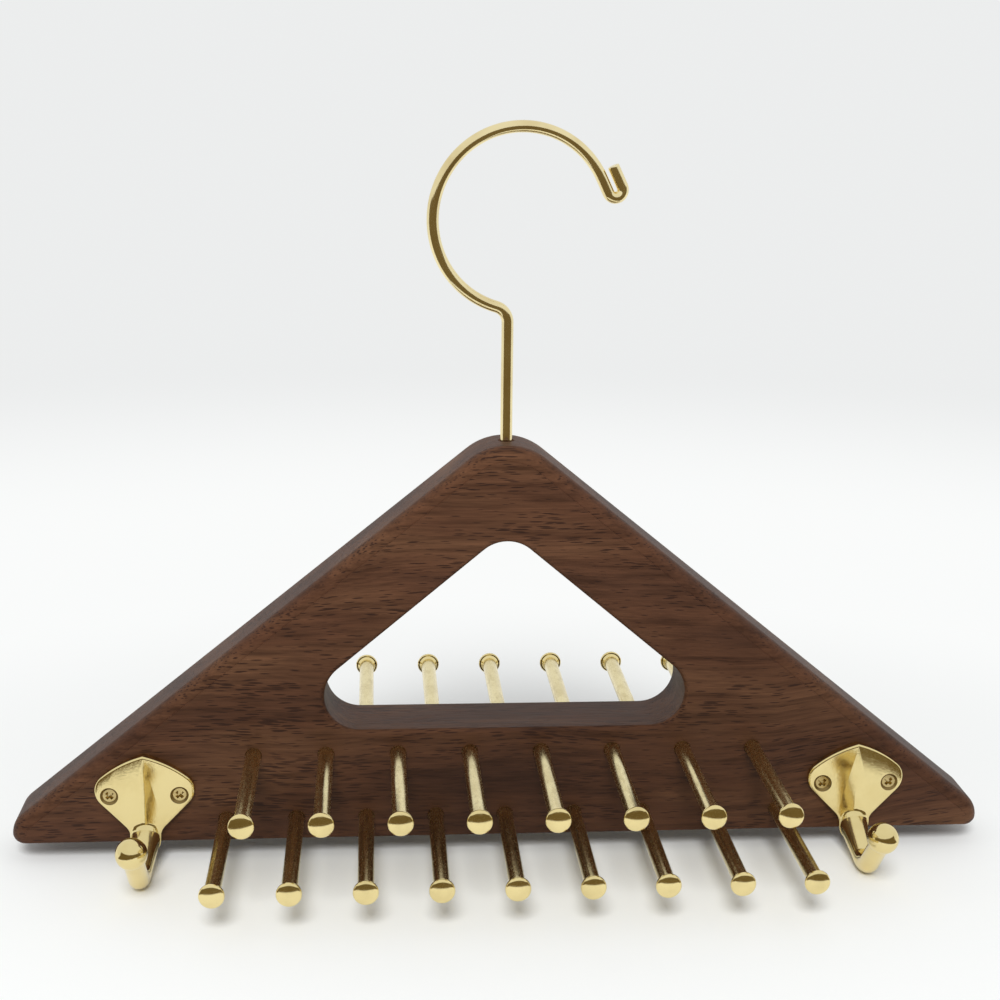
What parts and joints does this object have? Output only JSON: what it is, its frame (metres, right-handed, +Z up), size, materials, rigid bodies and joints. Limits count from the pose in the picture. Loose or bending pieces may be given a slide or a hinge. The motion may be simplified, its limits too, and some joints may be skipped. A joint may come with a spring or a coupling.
{
  "type": "tie hanger",
  "caption": "Triangular hardwood tie hanger with a window, rows of headed brass pegs on both faces, ball-end belt hooks and a swivelling wire hook.",
  "frame": {"origin": "under the middle of the board, level with the lowest point of the two belt hooks; the middle of the board's thickness is at Y 0", "axes": "+X along the board to its right end seen from the front, +Y through the board from front to back, +Z up along the hook's shank"},
  "size_m": [0.305, 0.131, 0.2261],
  "materials": {
    "walnut": "dark open-pored hardwood, oiled to a low satin",
    "peg_brass": "polished pale brass",
    "hook_brass": "polished pale brass",
    "belt_hook_brass": "polished cast brass",
    "screw_brass": "plain brass, a little duller than the hooks",
    "washer_steel": "plain steel"
  },
  "bodies": {
    "hanger": {"board": "walnut", "hook_washer": "washer_steel", "front_upper_peg_1": "peg_brass", "front_upper_peg_2": "peg_brass", "front_upper_peg_3": "peg_brass", "front_upper_peg_4": "peg_brass", "front_upper_peg_5": "peg_brass", "front_upper_peg_6": "peg_brass", "front_upper_peg_7": "peg_brass", "front_upper_peg_8": "peg_brass", "front_lower_peg_1": "peg_brass", "front_lower_peg_2": "peg_brass", "front_lower_peg_3": "peg_brass", "front_lower_peg_4": "peg_brass", "front_lower_peg_5": "peg_brass", "front_lower_peg_6": "peg_brass", "front_lower_peg_7": "peg_brass", "front_lower_peg_8": "peg_brass", "front_lower_peg_9": "peg_brass", "back_upper_peg_1": "peg_brass", "back_upper_peg_2": "peg_brass", "back_upper_peg_3": "peg_brass", "back_upper_peg_4": "peg_brass", "back_upper_peg_5": "peg_brass", "back_upper_peg_6": "peg_brass", "back_upper_peg_7": "peg_brass", "back_upper_peg_8": "peg_brass", "back_upper_peg_9": "peg_brass", "back_lower_peg_1": "peg_brass", "back_lower_peg_2": "peg_brass", "back_lower_peg_3": "peg_brass", "back_lower_peg_4": "peg_brass", "back_lower_peg_5": "peg_brass", "back_lower_peg_6": "peg_brass", "back_lower_peg_7": "peg_brass", "back_lower_peg_8": "peg_brass", "left_belt_hook": "belt_hook_brass", "right_belt_hook": "belt_hook_brass", "left_hook_screw_1": "screw_brass", "left_hook_screw_2": "screw_brass", "right_hook_screw_1": "screw_brass", "right_hook_screw_2": "screw_brass"},
    "hook": {"wire_hook": "hook_brass"}
  },
  "joints": [
    {"name": "hook_swivel", "type": "hinge", "parent": "hanger", "child": "hook", "pos_m": [0, 0, 0.131], "axis": [0, 0, 1], "continuous": true}
  ]
}
